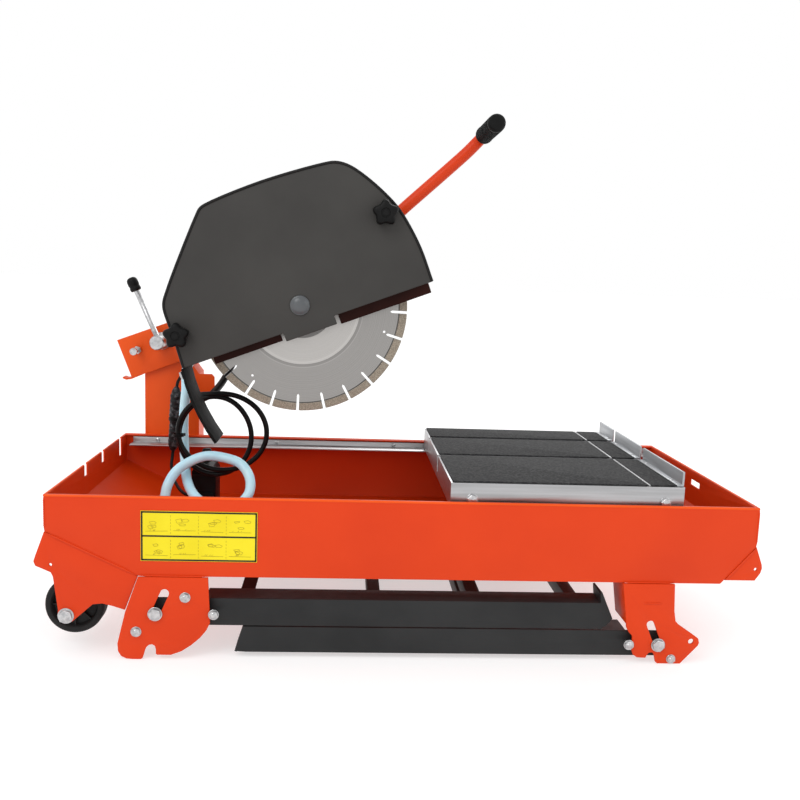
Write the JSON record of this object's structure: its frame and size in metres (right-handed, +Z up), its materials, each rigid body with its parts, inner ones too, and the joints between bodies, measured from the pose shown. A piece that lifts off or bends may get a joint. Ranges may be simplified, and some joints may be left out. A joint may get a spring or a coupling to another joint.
{
  "type": "tile cutter",
  "caption": "Bench masonry and tile saw: water tray on folding legs, rolling table, tilting motor head with a segmented blade and guard.",
  "frame": {"origin": "middle of the base of everything but the loose cords, at the level the leg brackets stand on", "axes": "+X along the tray away from the post, +Y to the back where the post stands, +Z up"},
  "size_m": [1.0986, 0.591, 0.8417],
  "materials": {
    "orange_paint": "satin powder coat",
    "dark_paint": "satin powder coat",
    "guard_plastic": "matte moulded",
    "motor_casting": "painted casting",
    "black_plastic": "matte moulded",
    "rubber": "matte rubber",
    "roller_plastic": "smooth",
    "zinc": "zinc plated",
    "aluminium": "mill finish",
    "blade_steel": "brushed",
    "label": "printed film",
    "clear_hose": "clear flexible plastic"
  },
  "bodies": {
    "frame": {"tray": "orange_paint", "wheel_bracket_front": "orange_paint", "wheel_bracket_back": "orange_paint", "left_leg_bracket_front": "orange_paint", "left_leg_bracket_back": "orange_paint", "right_leg_bracket_front": "orange_paint", "right_leg_bracket_back": "orange_paint", "lifting_ear_front": "orange_paint", "lifting_ear_back": "orange_paint", "rail_front": "aluminium", "rail_back": "aluminium", "post": "orange_paint", "label_plate": "label", "wheel_axle": "zinc", "pump": "black_plastic", "water_hose": "clear_hose", "cable_coil": "rubber", "pump_connector": "black_plastic", "pump_lead_upper": "rubber", "pump_lead_lower": "rubber"},
    "wheel_front": {"transport_wheel_front": "black_plastic"},
    "wheel_back": {"transport_wheel_back": "black_plastic"},
    "left_leg": {"left_leg_bar_front": "dark_paint", "left_leg_bar_back": "dark_paint", "left_leg_crossbar_near": "dark_paint", "left_leg_crossbar_far": "dark_paint"},
    "right_leg": {"right_leg_bar_front": "dark_paint", "right_leg_bar_back": "dark_paint", "right_leg_crossbar_near": "dark_paint", "right_leg_crossbar_middle": "dark_paint", "right_leg_crossbar_far": "dark_paint"},
    "table": {"table_frame": "aluminium", "pad_front": "rubber", "pad_middle": "rubber", "pad_rear": "rubber", "fence_front": "aluminium", "fence_middle": "aluminium", "fence_rear": "aluminium"},
    "table_roller_front_left": {"roller_front_left": "roller_plastic"},
    "table_roller_front_right": {"roller_front_right": "roller_plastic"},
    "table_roller_back_left": {"roller_back_left": "roller_plastic"},
    "table_roller_back_right": {"roller_back_right": "roller_plastic"},
    "head": {"head_arm": "orange_paint", "motor": "motor_casting", "guard_cover": "guard_plastic", "guard_back": "guard_plastic", "guard_cap": "guard_plastic", "handle_tube": "orange_paint", "handle_grip": "black_plastic", "stop_screw": "zinc", "splash_flap": "rubber", "cable_boot": "rubber", "hose_top": "clear_hose"},
    "cutting_wheel": {"blade": "blade_steel", "spindle": "blade_steel", "outer_flange": "blade_steel"},
    "head_lock": {"lock_lever": "zinc", "lever_cap": "black_plastic"},
    "upper_knob": {"knob_upper": "black_plastic"},
    "lower_knob": {"knob_lower": "black_plastic"}
  },
  "joints": [
    {"name": "head_tilt", "type": "hinge", "parent": "frame", "child": "head", "pos_m": [-0.4587, 0.24245, 0.436], "axis": [0, 1, 0], "range_deg": [0, 17], "deforming": ["hose_top", "water_hose"]},
    {"name": "blade_spin", "type": "hinge", "parent": "head", "child": "cutting_wheel", "pos_m": [-0.17426, -0.07255, 0.52376], "axis": [0, 1, 0], "continuous": true},
    {"name": "lock_lever_turn", "type": "hinge", "parent": "head", "child": "head_lock", "pos_m": [-0.4587, 0.17345, 0.436], "axis": [0, 1, 0], "range_deg": [-35, 25]},
    {"name": "upper_knob_turn", "type": "hinge", "parent": "head", "child": "upper_knob", "pos_m": [-0.04284, -0.12855, 0.67811], "axis": [0, 1, 0], "continuous": true},
    {"name": "lower_knob_turn", "type": "hinge", "parent": "head", "child": "lower_knob", "pos_m": [-0.37062, -0.12855, 0.47302], "axis": [0, 1, 0], "continuous": true},
    {"name": "table_slide", "type": "slide", "parent": "frame", "child": "table", "axis": [1, 0, 0], "range_m": [-0.27, 0.09]},
    {"name": "transport_wheel_front_spin", "type": "hinge", "parent": "frame", "child": "wheel_front", "pos_m": [-0.5037, -0.22855, 0.065], "axis": [0, 1, 0], "continuous": true},
    {"name": "transport_wheel_back_spin", "type": "hinge", "parent": "frame", "child": "wheel_back", "pos_m": [-0.5037, 0.15145, 0.065], "axis": [0, 1, 0], "continuous": true},
    {"name": "left_leg_lift", "type": "slide", "parent": "frame", "child": "left_leg", "axis": [0.4008, 0, 0.9162], "range_m": [0, 0.014]},
    {"name": "right_leg_swing", "type": "hinge", "parent": "frame", "child": "right_leg", "pos_m": [0.3933, -0.03855, 0.03], "axis": [0, 1, 0], "range_deg": [-98, 0]},
    {"name": "roller_front_left_roll", "type": "hinge", "parent": "table", "child": "table_roller_front_left", "pos_m": [0.0963, -0.25755, 0.2505], "axis": [0, 1, 0], "range_deg": [-1000, 340]},
    {"name": "roller_front_right_roll", "type": "hinge", "parent": "table", "child": "table_roller_front_right", "pos_m": [0.3943, -0.25755, 0.2505], "axis": [0, 1, 0], "range_deg": [-1000, 340]},
    {"name": "roller_back_left_roll", "type": "hinge", "parent": "table", "child": "table_roller_back_left", "pos_m": [0.0963, 0.18045, 0.2505], "axis": [0, 1, 0], "range_deg": [-1000, 340]},
    {"name": "roller_back_right_roll", "type": "hinge", "parent": "table", "child": "table_roller_back_right", "pos_m": [0.3943, 0.18045, 0.2505], "axis": [0, 1, 0], "range_deg": [-1000, 340]}
  ],
  "couplings": [
    {"joint": "roller_front_left_roll", "follows": "table_slide", "rad_per_m": 62.893},
    {"joint": "roller_front_right_roll", "follows": "table_slide", "rad_per_m": 62.893},
    {"joint": "roller_back_left_roll", "follows": "table_slide", "rad_per_m": 62.893},
    {"joint": "roller_back_right_roll", "follows": "table_slide", "rad_per_m": 62.893}
  ]
}
